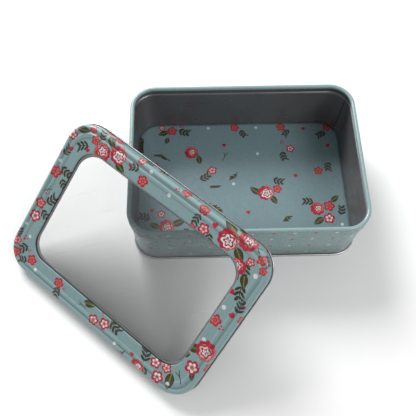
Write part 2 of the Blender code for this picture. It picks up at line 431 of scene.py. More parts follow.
grey_lacquer, tree, shader = new_material("Grey lacquered tin")
place = object_place(tree)
mottle = noise(tree, place, 60.0, 4.0)
brushed = noise(tree, place, 40.0, 3.0, stretch=(1.0, 1.0, 3.0))
run = split(tree, attribute(tree, "print_place")[1])[0]
seam = calc(tree, "COMPARE", run, SEAM_RUN, 0.26)
worn_share = spread(tree, mottle, 0.3, 0.7, 0.0, 0.35)
colour = layer_colour(tree, worn_share, LACQUER_GREY, WORN_LACQUER)
colour = layer_colour(tree, calc(tree, "MULTIPLY", seam, 0.85), colour, SEAM_DARK)
feed(tree, shader.inputs["Base Color"], colour)
shader.inputs["Metallic"].default_value = 0.45
feed(tree, shader.inputs["Roughness"], spread(tree, brushed, 0.3, 0.7, 0.24, 0.42))
add_bump(tree, shader, calc(tree, "ADD", calc(tree, "MULTIPLY", brushed, 0.3), mottle), 0.00008)


def lap_inset(angle):
    """The seam's lap: one end of the strip steps in behind the other, then eases out."""
    past = angle - LAP_ANGLE
    if past < LAP_STEP_ANGLE or past > LAP_RUN_OUT:
        return 0.0
    return LAP_STEP * (LAP_RUN_OUT - past) / (LAP_RUN_OUT - LAP_STEP_ANGLE)


def box_outline(offset, corner_steps, side_steps, inset=None):
    """The box's outline, grown by offset from the outside of its rolled rim."""
    extra = (LAP_ANGLE, LAP_ANGLE + LAP_STEP_ANGLE, LAP_ANGLE + LAP_RUN_OUT)
    radius = max(CORNER_RADIUS + offset, LEAST_RADIUS)
    half_x = HALF_LENGTH + offset
    half_y = HALF_DEPTH + offset
    return outline(half_x, half_y, radius, corner_steps, side_steps, extra, inset)


rim_roll = arc(RIM_ROLL_CENTRE, RIM_ROLL_RADIUS, 240, -40, 16)
collar_top = (COLLAR_OFFSET, rim_roll[-1][1] - SHEET)
bead_top = (COLLAR_OFFSET, STOP_HEIGHT + BEAD_HALF_HEIGHT)
bead_middle = (STOP_BEAD_OFFSET, STOP_HEIGHT)
bead_foot = (BODY_OFFSET, STOP_HEIGHT - BEAD_HALF_HEIGHT)
# Rows of the wall: wear and a painted highlight on top of the rim roll and on the stop bead, painted
# shade just under the roll and under the bead, and dust at the foot.
wall_rows = [
    (*point, RIM_WEAR_AND_HIGHLIGHT if point[1] > RIM_ROLL_CENTRE[1] else RIM_UNDERSIDE_RUB) for point in rim_roll
]
wall_rows += [(*collar_top, COLLAR_SHADE), (COLLAR_OFFSET, LAP_TOP, 0.0), (*bead_top, 0.0)]
for offset, height in ease(bead_top, bead_middle, 4):
    above = (height - STOP_HEIGHT) / BEAD_HALF_HEIGHT
    wall_rows.append((offset, height, BEAD_WEAR_AND_HIGHLIGHT * (1 - abs(above))))
for offset, height in ease(bead_middle, bead_foot, 5):
    below = (STOP_HEIGHT - height) / BEAD_HALF_HEIGHT
    wall_rows.append((offset, height, BEAD_WEAR_AND_HIGHLIGHT + (UNDER_BEAD_SHADE_AND_FOOT_DUST - BEAD_WEAR_AND_HIGHLIGHT) * below))
wall_rows += [(BODY_OFFSET, UNDER_BEAD, 0.0), (BODY_OFFSET, MID_HEIGHT, 0.0)]
wall_rows += [(BODY_OFFSET, LAP_FOOT, UNDER_BEAD_SHADE_AND_FOOT_DUST), (BODY_OFFSET, LAP_FOOT - SHEET, SEAM_DUST)]
wall_rows += [(*point, SEAM_DUST) for point in arc(FLANGE_CENTRE, BEND_RADIUS, 180, 270, 4)]
wall_rows += [(BODY_OFFSET + FLANGE_REACH, FLANGE_CENTRE[1] - BEND_RADIUS, SEAM_DUST)]

reference = box_outline(0.0, WALL_CORNER_STEPS, WALL_SIDE_STEPS)
runs = [0.0]
for start, end in zip(reference, reference[1:]):
    runs.append(runs[-1] + math.hypot(end[0] - start[0], end[1] - start[1]))
wall_loops = []
for offset, height, wear_and_shading in wall_rows:
    lapped = LAP_FOOT <= height <= LAP_TOP
    inset = lap_inset if lapped else None
    points = box_outline(offset, WALL_CORNER_STEPS, WALL_SIDE_STEPS, inset)
    wall_loops.append([
        (Vector((x, y, height)), (run - FRONT_MIDDLE, height, 0.0), wear_and_shading)
        for (x, y, _), run in zip(points, runs)
    ])
wall = add_sheet("wall_sheet", wall_loops, [wall_enamel, grey_lacquer], "box", "box_wall", flip=True)

# ---------------------------------------------------------------------------------------------
# Base panel. A flat blank of tinplate, printed with flowers on the side that shows in the box
# and bare underneath. Its edge turns up and hooks over the wall's flange, and is pressed down
# into the seam that the tin stands on.
FLOOR_HEIGHT = SHEET / 2
FLOOR_MIDDLE = 1.0
FLOOR_PITCH = 1.6
FLOOR_ROWS = 35
FLOOR_CORNER_STEPS = 12
FLOOR_SIDE_STEPS = (80, 50)
HOOK_LOWER = (-0.5, 0.7)
HOOK_UPPER = (-0.5, 1.4)
HOOK_EDGE = (-0.7, 1.9)
# Within 2 mm of the wall, the floor and its hook are darkened as dust and as painted shade.
DUST_AND_SHADE_BEYOND = -2.0
HOOK_DUST_AND_SHADE = -0.9

FLOOR_TEAL = (0.175, 0.265, 0.290, 1.0)
CRIMSON = (0.36, 0.002, 0.026, 1.0)
DEEP_CRIMSON = (0.20, 0.001, 0.016, 1.0)
SALMON = (0.52, 0.13, 0.10, 1.0)
PETAL_WHITE = (0.64, 0.62, 0.63, 1.0)
LEAF_BROWN = (0.028, 0.021, 0.008, 1.0)
LEAF_OLIVE = (0.17, 0.20, 0.020, 1.0)

MOTIF_MARGIN = 0.6
LEAF, SPRIG, STEM = 1, 2, 3
BLOSSOM, ROSE, HEART, DOT, BERRIES = 1, 2, 3, 4, 5

# Both floral prints are listed, in millimetres from the middle of the sheet:
# (kind, x, y, size, turn in degrees, tone), where tone runs from salmon petals to white ones.
FLOOR_LEAVES = [
    (LEAF, -60, 48, 4.5, 200, 0), (SPRIG, -44, 49, 4.5, -20, 0), (LEAF, -57, 41, 3.5, 250, 0),
    (SPRIG, 3, 47, 3.6, -60, 0), (SPRIG, 38, 47, 3.6, 230, 0), (SPRIG, 66, 45, 4.0, 200, 0),
    (SPRIG, -73, -24, 4.6, 160, 0), (LEAF, -66, -31, 4.5, 150, 0), (LEAF, -48, -29, 5.5, 20, 0),
    (SPRIG, -42, -37, 4.2, -50, 0), (LEAF, 56, -30, 5.0, 215, 0), (SPRIG, 74, -22, 4.0, 80, 0),
    (LEAF, 70, -12, 4.2, 40, 0), (SPRIG, 50, -14, 4.2, 170, 0), (SPRIG, -28, 8, 4.4, 30, 0),
    (LEAF, 10, -4, 5.0, 140, 0), (SPRIG, 28, 4, 4.2, -20, 0), (LEAF, 24, -12, 4.4, -60, 0),
    (SPRIG, -5, -44, 4.0, 120, 0), (SPRIG, 34, 26, 4.0, -80, 0), (SPRIG, -70, 10, 4.0, 60, 0),
    (LEAF, -32, 24, 4.4, 100, 0), (SPRIG, 26, -46, 4.0, 10, 0), (STEM, -12, 26, 4.0, 80, 0),
    (SPRIG, 68, 16, 4.0, -100, 0),
]
FLOOR_FLOWERS = [
    (BLOSSOM, -53, 50, 4.2, 10, 0), (BLOSSOM, -61, 53, 2.8, 40, 1), (BERRIES, -45, 54, 2.4, 0, 0),
    (BLOSSOM, -3, 52, 3.8, 0, 0), (DOT, 14, 52, 1.2, 0, 0), (BLOSSOM, 34, 52, 3.8, 20, 0),
    (DOT, -24, 52, 1.2, 0, 0), (BLOSSOM, 71, 51, 3.6, 0, 0), (HEART, 52, 50, 1.6, 10, 0),
    (HEART, -68, -19, 1.6, 0, 0), (BLOSSOM, -61, -22, 3.4, 15, 1), (ROSE, -57, -32, 6.0, 0, 0.3),
    (ROSE, 56, -20, 5.6, 60, 0), (BLOSSOM, 65, -18, 4.6, 0, 0), (BLOSSOM, 64, -28, 4.6, 10, 1),
    (DOT, 73, -33, 1.2, 0, 0), (ROSE, 18, -6, 6.4, 10, 1), (BLOSSOM, 27, -3, 3.8, 0, 0),
    (BLOSSOM, -22, 14, 4.0, 30, 0.8), (DOT, -6, 2, 1.2, 0, 0), (HEART, 42, 8, 1.6, -20, 0),
    (BLOSSOM, -12, -42, 3.8, 20, 0), (HEART, 4, -22, 1.6, 15, 0), (DOT, 40, -40, 1.2, 0, 0),
    (BLOSSOM, 40, 32, 3.6, 0, 1), (BERRIES, 34, 38, 2.2, 40, 0), (BLOSSOM, -66, 18, 3.8, 0, 0),
    (DOT, -52, 6, 1.2, 0, 0), (DOT, -40, -12, 1.2, 0, 0), (ROSE, -38, 30, 5.6, 80, 0),
    (BLOSSOM, 20, -44, 3.6, 40, 0), (HEART, 70, 34, 1.6, 0, 0), (BLOSSOM, 60, 12, 3.8, 10, 0),
    (DOT, 14, 28, 1.2, 0, 0), (HEART, -12, 36, 1.6, 0, 0), (DOT, 56, -46, 1.2, 0, 0),
]


# Lengths in a motif are shares of its size, and x runs along it.
def petal_reach(tree, angle, notch, reach):
    """How far five round petals reach: notch between them, and notch + reach at their tips."""
    turn = calc(tree, "ABSOLUTE", calc(tree, "COSINE", calc(tree, "MULTIPLY", angle, 2.5)))
    return calc(tree, "ADD", calc(tree, "MULTIPLY", calc(tree, "SQRT", turn), reach), notch)


def motif_group(name):
    """A group that draws one motif: its colour, and a mask that is 1 inside it."""
    return new_group(
        name,
        [("X", "NodeSocketFloat"), ("Y", "NodeSocketFloat"), ("Tone", "NodeSocketFloat")],
        [("Colour", "NodeSocketColor"), ("Mask", "NodeSocketFloat")],
    )


# A five-petalled blossom: crimson petals, a salmon or white star inside them, and an eye.
blossom, given, wanted = motif_group("Blossom")
r = length(blossom, given["X"], given["Y"])
a = calc(blossom, "ARCTAN2", given["Y"], given["X"])
star = petal_reach(blossom, a, 0.16, 0.46)
petal = layer_colour(blossom, given["Tone"], SALMON, PETAL_WHITE)
colour = layer_colour(blossom, calc(blossom, "LESS_THAN", r, star), CRIMSON, petal)
ring = layer_colour(blossom, given["Tone"], CRIMSON, SALMON)
colour = layer_colour(blossom, calc(blossom, "LESS_THAN", r, 0.30), colour, ring)
eye = layer_colour(blossom, given["Tone"], SALMON, CRIMSON)
colour = layer_colour(blossom, calc(blossom, "LESS_THAN", r, 0.12), colour, eye)
feed(blossom, wanted["Colour"], colour)
edge = petal_reach(blossom, a, 0.52, 0.44)
feed(blossom, wanted["Mask"], calc(blossom, "LESS_THAN", r, edge))

# A full rose: a crimson ruffle round curling petals that get paler towards the heart.
rose, given, wanted = motif_group("Rose")
r = length(rose, given["X"], given["Y"])
a = calc(rose, "ARCTAN2", given["Y"], given["X"])
waves = calc(rose, "ABSOLUTE", calc(rose, "SINE", calc(rose, "MULTIPLY", a, 4.5)))
ruffle = calc(rose, "MULTIPLY", waves, 0.13)
feed(rose, wanted["Mask"], calc(rose, "LESS_THAN", r, calc(rose, "ADD", ruffle, 0.84)))
off_x = calc(rose, "SUBTRACT", given["X"], 0.10)
off_y = calc(rose, "ADD", given["Y"], 0.12)
inner = length(rose, off_x, calc(rose, "MULTIPLY", off_y, 1.15))
curl_angle = calc(rose, "ARCTAN2", off_y, off_x)
wavy = calc(rose, "MULTIPLY", calc(rose, "SINE", calc(rose, "MULTIPLY", curl_angle, 5.0)), 0.10)
coils = calc(rose, "MULTIPLY", calc(rose, "ADD", inner, wavy), 2.6)
turns = calc(rose, "SUBTRACT", coils, calc(rose, "DIVIDE", curl_angle, 2 * math.pi))
band = calc(rose, "FRACT", calc(rose, "ADD", turns, 2.0))
heart_of_rose = calc(rose, "LESS_THAN", inner, 0.70)
pale = layer_colour(rose, given["Tone"], SALMON, PETAL_WHITE)
paler = layer_colour(rose, calc(rose, "LESS_THAN", inner, 0.42), pale, PETAL_WHITE)
curls = calc(rose, "MULTIPLY", heart_of_rose, calc(rose, "GREATER_THAN", band, 0.45))
colour = layer_colour(rose, curls, CRIMSON, paler)
shade = calc(rose, "MULTIPLY", heart_of_rose, calc(rose, "LESS_THAN", band, 0.12))
colour = layer_colour(rose, shade, colour, DEEP_CRIMSON)
fold_reach = calc(rose, "ADD", calc(rose, "MULTIPLY", ruffle, 1.6), 0.66)
outer_fold = calc(rose, "COMPARE", r, fold_reach, 0.05)
one_sided = calc(rose, "MULTIPLY", outer_fold, calc(rose, "GREATER_THAN", given["X"], 0.1))
feed(rose, wanted["Colour"], layer_colour(rose, one_sided, colour, SALMON))

# A pointed leaf along x, dark brown, with olive veins.
leaf, given, wanted = motif_group("Leaf")
side = calc(leaf, "ABSOLUTE", given["Y"])
taper = calc(leaf, "SUBTRACT", 1.0, calc(leaf, "MULTIPLY", given["X"], given["X"]))
swelling = calc(leaf, "SUBTRACT", 0.50, calc(leaf, "MULTIPLY", given["X"], 0.14))
half_width = calc(leaf, "MULTIPLY", taper, swelling)
feed(leaf, wanted["Mask"], calc(leaf, "LESS_THAN", side, half_width))
slanted = calc(leaf, "MULTIPLY", calc(leaf, "SUBTRACT", given["X"], side), 3.2)
in_vein = calc(leaf, "LESS_THAN", calc(leaf, "FRACT", slanted), 0.16)
vein_end = calc(leaf, "MULTIPLY", half_width, 0.62)
side_vein = calc(leaf, "MULTIPLY", in_vein, calc(leaf, "LESS_THAN", side, vein_end))
midrib = calc(leaf, "LESS_THAN", side, 0.055)
vein = calc(leaf, "MAXIMUM", calc(leaf, "MULTIPLY", side_vein, 0.5), midrib)
feed(leaf, wanted["Colour"], layer_colour(leaf, vein, LEAF_BROWN, LEAF_OLIVE))

# A sprig: a bent stem along x with leaves in pairs, pointing forwards.
sprig, given, wanted = motif_group("Sprig")
bow = calc(sprig, "MULTIPLY", calc(sprig, "MULTIPLY", given["X"], given["X"]), 0.22)
bent = calc(sprig, "SUBTRACT", given["Y"], bow)
side = calc(sprig, "ABSOLUTE", calc(sprig, "ADD", bent, 0.06))
slanted = calc(sprig, "SUBTRACT", given["X"], calc(sprig, "MULTIPLY", side, 0.75))
back = calc(sprig, "ADD", slanted, 1.0)
pair = calc(sprig, "SUBTRACT", calc(sprig, "FRACT", calc(sprig, "DIVIDE", back, 0.62)), 0.5)
across = calc(sprig, "DIVIDE", pair, 0.40)
along = calc(sprig, "DIVIDE", calc(sprig, "SUBTRACT", side, 0.38), 0.34)
leaflets = calc(sprig, "LESS_THAN", length(sprig, across, along), 1.0)
off_middle = calc(sprig, "ABSOLUTE", calc(sprig, "SUBTRACT", back, 0.93))
leaflets = calc(sprig, "MULTIPLY", leaflets, calc(sprig, "LESS_THAN", off_middle, 0.93))
within = calc(sprig, "LESS_THAN", calc(sprig, "ABSOLUTE", given["X"]), 0.95)
stalk = calc(sprig, "MULTIPLY", calc(sprig, "LESS_THAN", side, 0.065), within)
feed(sprig, wanted["Mask"], calc(sprig, "MAXIMUM", leaflets, stalk))
feed(sprig, wanted["Colour"], LEAF_BROWN)

# A bare stem that forks towards its tip.
stem, given, wanted = motif_group("Stem")
bow = calc(stem, "MULTIPLY", calc(stem, "MULTIPLY", given["X"], given["X"]), 0.35)
off_stem = calc(stem, "ABSOLUTE", calc(stem, "SUBTRACT", given["Y"], bow))
first = calc(stem, "LESS_THAN", off_stem, 0.07)
fork = calc(stem, "ADD", given["Y"], calc(stem, "MULTIPLY", given["X"], 0.45))
second = calc(stem, "LESS_THAN", calc(stem, "ABSOLUTE", fork), 0.07)
second = calc(stem, "MULTIPLY", second, calc(stem, "GREATER_THAN", given["X"], 0.0))
both = calc(stem, "MAXIMUM", first, second)
within = calc(stem, "LESS_THAN", calc(stem, "ABSOLUTE", given["X"]), 0.95)
feed(stem, wanted["Mask"], calc(stem, "MULTIPLY", both, within))
feed(stem, wanted["Colour"], LEAF_BROWN)

# Hearts, dots and three small berries are single shapes in one colour.
heart, given, wanted = motif_group("Heart")
feed(heart, wanted["Mask"], heart_mask(heart, given["X"], given["Y"]))
feed(heart, wanted["Colour"], CRIMSON)

dot, given, wanted = motif_group("Dot")
feed(dot, wanted["Mask"], calc(dot, "LESS_THAN", length(dot, given["X"], given["Y"]), 1.0))
feed(dot, wanted["Colour"], OFF_WHITE)

berries, given, wanted = motif_group("Berries")
mask = 0.0
for x, y, size in ((-0.45, 0.1, 0.34), (0.35, 0.5, 0.26), (0.40, -0.35, 0.22)):
    away_x = calc(berries, "SUBTRACT", given["X"], x)
    away_y = calc(berries, "SUBTRACT", given["Y"], y)
    inside = calc(berries, "LESS_THAN", length(berries, away_x, away_y), size)
    mask = calc(berries, "MAXIMUM", mask, inside)
feed(berries, wanted["Mask"], mask)
feed(berries, wanted["Colour"], CRIMSON)


def print_layer_group(name, motifs):
    """One layer of the floral print, in which each face of the sheet holds at most one motif."""
    group, given, wanted = new_group(
        name,
        [
            ("Colour", "NodeSocketColor"),
            ("Print", "NodeSocketVector"),
            ("Place", "NodeSocketVector"),
            ("Form", "NodeSocketVector"),
        ],
        [("Colour", "NodeSocketColor")],
    )
    print_x, print_y, _ = split(group, given["Print"])
    place_x, place_y, turn = split(group, given["Place"])
    size, kind, tone = split(group, given["Form"])
    away_x = calc(group, "DIVIDE", calc(group, "SUBTRACT", print_x, place_x), size)
    away_y = calc(group, "DIVIDE", calc(group, "SUBTRACT", print_y, place_y), size)
    cosine = calc(group, "COSINE", turn)
    sine = calc(group, "SINE", turn)
    x = calc(group, "MULTIPLY", away_x, cosine)
    x = calc(group, "ADD", x, calc(group, "MULTIPLY", away_y, sine))
    y = calc(group, "MULTIPLY", away_y, cosine)
    y = calc(group, "SUBTRACT", y, calc(group, "MULTIPLY", away_x, sine))
    colour = given["Colour"]
    for number, motif in motifs.items():
        drawn = use_group(group, motif, X=x, Y=y, Tone=tone)
        here = calc(group, "MULTIPLY", drawn["Mask"], calc(group, "COMPARE", kind, number, 0.4))
        colour = layer_colour(group, here, colour, drawn["Colour"])
    feed(group, wanted["Colour"], colour)
    return group


leaf_print = print_layer_group("Printed leaves", {LEAF: leaf, SPRIG: sprig, STEM: stem})
flower_print = print_layer_group(
    "Printed flowers", {BLOSSOM: blossom, ROSE: rose, HEART: heart, DOT: dot, BERRIES: berries}
)


def floral_material(name, ground):
    """Printed enamel with the flowers that lay_out_print has given to the sheet's faces."""

    def paint(tree):
        place = attribute(tree, "print_place")[1]
        colour = ground
        for layer, group in (("leaves", leaf_print), ("flowers", flower_print)):
            motif_place = attribute(tree, layer + "_place")[1]
            form = attribute(tree, layer + "_form")[1]
            drawn = use_group(tree, group, Colour=colour, Print=place, Place=motif_place, Form=form)
            colour = drawn["Colour"]
        return colour

    return enamel_material(name, paint)


def lay_out_print(piece, layer, motifs):
    """Gives each face of the sheet the motif nearest to it, by distance in motif sizes."""
    mesh = piece.data
    spots = np.zeros(len(mesh.vertices) * 3, np.float32)
    mesh.attributes["print_place"].data.foreach_get("vector", spots)
    spots = spots.reshape(-1, 3)[:, :2]
    middles = np.array([spots[list(face.vertices)].mean(0) for face in mesh.polygons])
    kinds, xs, ys, sizes, turns, tones = np.array(motifs, float).T
    away = np.hypot(middles[:, :1] - xs, middles[:, 1:] - ys) / (sizes + MOTIF_MARGIN)
    nearest = away.argmin(1)
    places = np.stack([xs, ys, np.radians(turns)], 1)[nearest]
    forms = np.stack([sizes, kinds, tones], 1)[nearest]
    for name, values in ((layer + "_place", places), (layer + "_form", forms)):
        data = mesh.attributes.new(name, "FLOAT_VECTOR", "FACE").data
        data.foreach_set("vector", values.astype(np.float32).ravel())


bare_tin, tree, shader = new_material("Bare tinplate")
place = object_place(tree)
rolled = noise(tree, place, 260.0, 4.0, stretch=(1.0, 1.0, 6.0))
spangle = noise(tree, place, 90.0, 3.0)
colour = layer_colour(tree, spread(tree, spangle, 0.35, 0.7), BARE_TIN, DULL_TIN)
dulled = spread(tree, noise(tree, place, 700.0, 4.0), 0.55, 0.72, 0.0, 0.5)
feed(tree, shader.inputs["Base Color"], layer_colour(tree, dulled, colour, TARNISH))
shader.inputs["Metallic"].default_value = 1.0
feed(tree, shader.inputs["Roughness"], spread(tree, rolled, 0.3, 0.7, 0.26, 0.46))
add_bump(tree, shader, rolled, 0.00003)

floor_loops = []
innermost = FLOOR_MIDDLE - HALF_DEPTH
floor_rows = [(innermost + FLOOR_PITCH * step, FLOOR_HEIGHT) for step in range(FLOOR_ROWS)]
hook_rows = arc(HOOK_LOWER, BEND_RADIUS, -90, 0, 5)
hook_rows += arc(HOOK_UPPER, BEND_RADIUS, 0, 90, 5)
hook_rows += [HOOK_EDGE]
# Rows near the wall get painted shade and dust; the rest of the floor gets neither.
for offset, height in floor_rows + hook_rows:
    wear_and_shading = HOOK_DUST_AND_SHADE if offset > DUST_AND_SHADE_BEYOND else 0.0
    floor_loops.append([
        (Vector((x, y, height)), (x, y, 0.0), wear_and_shading)
        for x, y, _ in box_outline(offset, FLOOR_CORNER_STEPS, FLOOR_SIDE_STEPS)
    ])
floral_floor = floral_material("Floral floor enamel", FLOOR_TEAL)
sides = [floral_floor, bare_tin]
base = add_sheet("base_sheet", floor_loops, sides, "box", "base_panel", flip=True, capped=True)
lay_out_print(base, "leaves", FLOOR_LEAVES)
lay_out_print(base, "flowers", FLOOR_FLOWERS)

# ---------------------------------------------------------------------------------------------
# Lid frame. Drawn from one printed sheet: the skirt's edge is curled outwards, its shoulder is
# rounded, a groove and a ridge stiffen the top, and the edge of the window is turned down.
# It is off the box: its low long edge stands on the table and its window leans on the rim.
LID_YAW = math.radians(-40.3)
LID_TILT = math.radians(34.8)
LID_GROWTH = 0.8
FILM_MIDDLE = -1.65
WINDOW_CORNER = 13.5
CURL_CENTRE = (0.3, -8.3)
CURL_RADIUS = 0.5
SHOULDER_CENTRE = (-2.4, -2.4)
SHOULDER_RADIUS = 2.2
SHOULDER_WORN_AND_HIGHLIT = range(3, 8)
SKIRT_OFFSET = -SHEET / 2
SKIRT_HEIGHTS = (-7.4, -6.4, -5.4, -4.4, -3.4)
TOP = -SHEET / 2
GROOVE_OUTER = -2.4
GROOVE_FLOOR_OUTER = -4.0
GROOVE_MIDDLE = -4.3
GROOVE_FLOOR_INNER = -4.6
GROOVE_INNER = -5.9
GROOVE_FLOOR = -0.95
CREASE = -6.4
CREASE_HALF_WIDTH = 0.3
CREASE_DEPTH = 0.16
CREASE_LIP = 0.02
STEP_OUTER = -6.9
STEP_INNER = -7.6
BAND = -0.7
BAND_OUTER = -8.6
BAND_PITCH = 1.2
BAND_ROWS = 5
LID_CORNER_STEPS = 18
LID_SIDE_STEPS = (96, 60)
LIP_CENTRE = (-14.6, -1.1)
LIP_RADIUS = 0.4
LIP_END = -1.2

# Wear and shading values of the lid: the shoulder's crest and the ridge on both sides of the crease
# are paled as wear and as a painted highlight, the groove is darkened as dust and as painted shade,
# and the crease and the foot of the turned-down lip get painted shade.
CURL_RUB = 0.2
SHOULDER_RUB = 0.3
SHOULDER_EDGE_WEAR_AND_HIGHLIGHT = 0.75
GROOVE_EDGE_DUST_AND_SHADE = -0.1
GROOVE_DUST_AND_SHADE = -0.55
GROOVE_INNER_RUB = 0.1
RIDGE_WEAR_AND_HIGHLIGHT = 0.7
CREASE_SHADE = -0.35
LIP_RUB = 0.35
LIP_SHADE = -0.7

LID_TEAL = (0.200, 0.305, 0.312, 1.0)

LID_LEAVES = [
    # far long side, from the high left corner
    (LEAF, -72, 51, 5.0, 20, 0), (SPRIG, -67, 42, 4.4, 215, 0), (SPRIG, -58, 55, 3.6, 100, 0),
    (LEAF, -50, 55, 5.0, -40, 0), (LEAF, -37, 45, 4.8, -20, 0), (LEAF, -45, 41, 3.6, 200, 0),
    (SPRIG, -28, 51, 3.8, 200, 0), (SPRIG, -22, 61, 3.4, 160, 0), (SPRIG, -12, 64, 3.4, 0, 0),
    (SPRIG, 24, 49, 3.8, -95, 0), (SPRIG, 37, 43, 3.8, -60, 0), (LEAF, 44, 58, 6.0, 160, 0),
    (LEAF, 52, 62, 4.0, -20, 0), (LEAF, 58, 46, 5.6, -35, 0), (STEM, 64, 57, 4.0, -10, 0),
    (SPRIG, 74, 54, 4.0, -45, 0), (SPRIG, 66, 41, 4.6, -60, 0), (LEAF, 69, 35, 5.0, -60, 0),
    (LEAF, 63, 33, 4.6, -110, 0),
    # right short side
    (SPRIG, 71, 28, 5.0, -70, 0), (SPRIG, 76, 20, 4.4, 100, 0), (LEAF, 63, 2, 3.6, 200, 0),
    (LEAF, 66, -20, 6.0, 200, 0), (LEAF, 64, -27, 4.6, 220, 0), (LEAF, 76, -36, 3.4, -60, 0),
    # near long side
    (LEAF, 66, -49, 6.2, -75, 0), (STEM, 70, -42, 4.4, 150, 0), (SPRIG, 44, -46, 4.8, 110, 0),
    (SPRIG, 48, -56, 4.0, 200, 0), (SPRIG, 16, -45, 4.6, -20, 0), (LEAF, -7, -44, 5.0, 20, 0),
    (STEM, -11, -48, 3.6, 190, 0), (SPRIG, -32, -53, 4.0, -80, 0), (SPRIG, 28, -58, 3.4, 20, 0),
    # left short side
    (SPRIG, -66, -51, 3.6, 200, 0), (SPRIG, -70, -44, 4.6, -120, 0), (SPRIG, -79, -36, 3.4, 90, 0),
    (SPRIG, -68, -14, 4.2, -20, 0), (SPRIG, -69, -3, 4.6, 60, 0), (STEM, -75, 2, 3.6, 60, 0),
    (SPRIG, -70, 20, 4.4, -10, 0), (SPRIG, -67, 12, 3.8, -40, 0), (SPRIG, -76, 32, 3.6, 70, 0),
]
LID_FLOWERS = [
    # far long side, from the high left corner
    (BLOSSOM, -78, 44, 4.2, 20, 1), (HEART, -74, 35, 1.7, 20, 0), (HEART, -80, 29, 1.9, 40, 0),
    (BLOSSOM, -66, 55, 3.0, 0, 0), (BLOSSOM, -61, 50, 3.6, 20, 0), (HEART, -63, 41, 1.6, 0, 0),
    (ROSE, -53, 46, 6.6, 150, 0.2), (ROSE, -42, 51, 6.4, 20, 1), (BLOSSOM, -48, 61, 4.2, 20, 0),
    (BLOSSOM, -57, 63, 3.4, 0, 0), (HEART, -31, 50, 1.5, 20, 0), (BLOSSOM, -26, 58, 3.4, 10, 0.5),
    (BLOSSOM, -19, 47, 4.2, 15, 0), (DOT, -17, 55, 1.3, 0, 0), (BERRIES, -12, 60, 2.4, 60, 0),
    (DOT, 1, 50, 1.3, 0, 0), (BLOSSOM, 10, 59, 4.0, 0, 0), (BERRIES, 4, 56, 2.0, 20, 0),
    (BLOSSOM, 25, 56, 4.0, 20, 0), (BERRIES, 19, 59, 1.8, 60, 0), (BLOSSOM, 31, 46, 4.2, 0, 0.6),
    (BLOSSOM, 24, 42, 3.2, 40, 0), (HEART, 36, 52, 1.9, 30, 0), (ROSE, 47, 50, 7.2, 0, 1),
    (ROSE, 58, 57, 7.0, 100, 0.3), (ROSE, 61, 40, 5.6, 200, 0.2), (BLOSSOM, 66, 47, 3.2, 0, 0.5),
    (BLOSSOM, 71, 52, 3.6, 15, 0), (BLOSSOM, 75, 47, 2.9, 30, 0), (HEART, 72, 62, 1.6, 0, 0),
    (DOT, 73, 42, 1.5, 0, 0),
    # right short side
    (HEART, 67, 25, 1.8, 60, 0), (DOT, 68, 14, 1.4, 0, 0), (HEART, 75, 13, 2.0, 60, 0),
    (BLOSSOM, 82, 14, 3.4, 0, 0), (BLOSSOM, 68, 4, 4.4, 20, 0), (BERRIES, 74, 2, 2.4, 60, 0),
    (DOT, 69, -11, 1.4, 0, 0), (ROSE, 74, -16, 7.2, -30, 0.4), (BLOSSOM, 73, -31, 5.4, 10, 1),
    (BLOSSOM, 83, -25, 4.4, 0, 0), (BERRIES, 78, 22, 1.6, 0, 0),
    # near long side
    (BLOSSOM, 58, -52, 4.6, 10, 1), (BLOSSOM, 52, -45, 4.4, 30, 1), (BLOSSOM, 60, -43, 3.8, 0, 0.7),
    (ROSE, 43, -56, 5.2, 60, 0), (HEART, 36, -52, 1.6, 0, 0), (DOT, 66, -51, 1.4, 0, 0),
    (DOT, 22, -54, 1.2, 0, 0), (BLOSSOM, 9, -48, 4.4, 0, 1), (BLOSSOM, 1, -51, 4.2, 20, 0.7),
    (BERRIES, 5, -43, 1.8, 0, 0), (BLOSSOM, -34, -47, 4.2, 10, 0), (BERRIES, -28, -48, 1.8, 30, 0),
    (DOT, -54, -51, 1.2, 0, 0), (HEART, -20, -58, 1.5, 0, 0), (BERRIES, 32, -60, 2.0, 40, 0),
    # left short side
    (BLOSSOM, -60, -47, 4.2, 20, 0), (BERRIES, -65, -43, 2.0, 0, 0), (BLOSSOM, -74, -50, 4.2, 0, 0),
    (BLOSSOM, -77, -42, 3.8, 30, 0.6), (BERRIES, -72, -37, 2.6, 60, 0), (DOT, -70, -34, 1.2, 0, 0),
    (DOT, -77, -28, 1.0, 0, 0), (BLOSSOM, -74, -19, 4.8, 0, 1), (BLOSSOM, -75, -9, 4.4, 30, 0.3),
    (BERRIES, -74, 0, 2.0, 60, 0), (BLOSSOM, -76, 16, 4.6, 10, 0), (BERRIES, -81, 10, 2.0, 30, 0),
    (DOT, -77, 24, 1.2, 0, 0),
]

film_corners = [v.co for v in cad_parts["window_film"].data.vertices]
film_centre = sum(film_corners, Vector()) / len(film_corners)
lid_turn = Matrix.Rotation(LID_YAW, 4, "Z") @ Matrix.Rotation(LID_TILT, 4, "X")
lid_place = Matrix.Translation(film_centre) @ lid_turn @ Matrix.Translation((0, 0, -FILM_MIDDLE * MM))


def lid_outline(offset, side_steps):
    """The lid's outline, grown by offset from the outside of its skirt."""
    grown = LID_GROWTH + offset
    radius = max(CORNER_RADIUS + grown, WINDOW_CORNER)
    return outline(HALF_LENGTH + grown, HALF_DEPTH + grown, radius, LID_CORNER_STEPS, side_steps)


def with_wear_and_shading(points, wear_and_shading):
    """Profile points as rows of a sheet, all with the same value for wear and shading."""
    return [(offset, height, wear_and_shading) for offset, height in points]


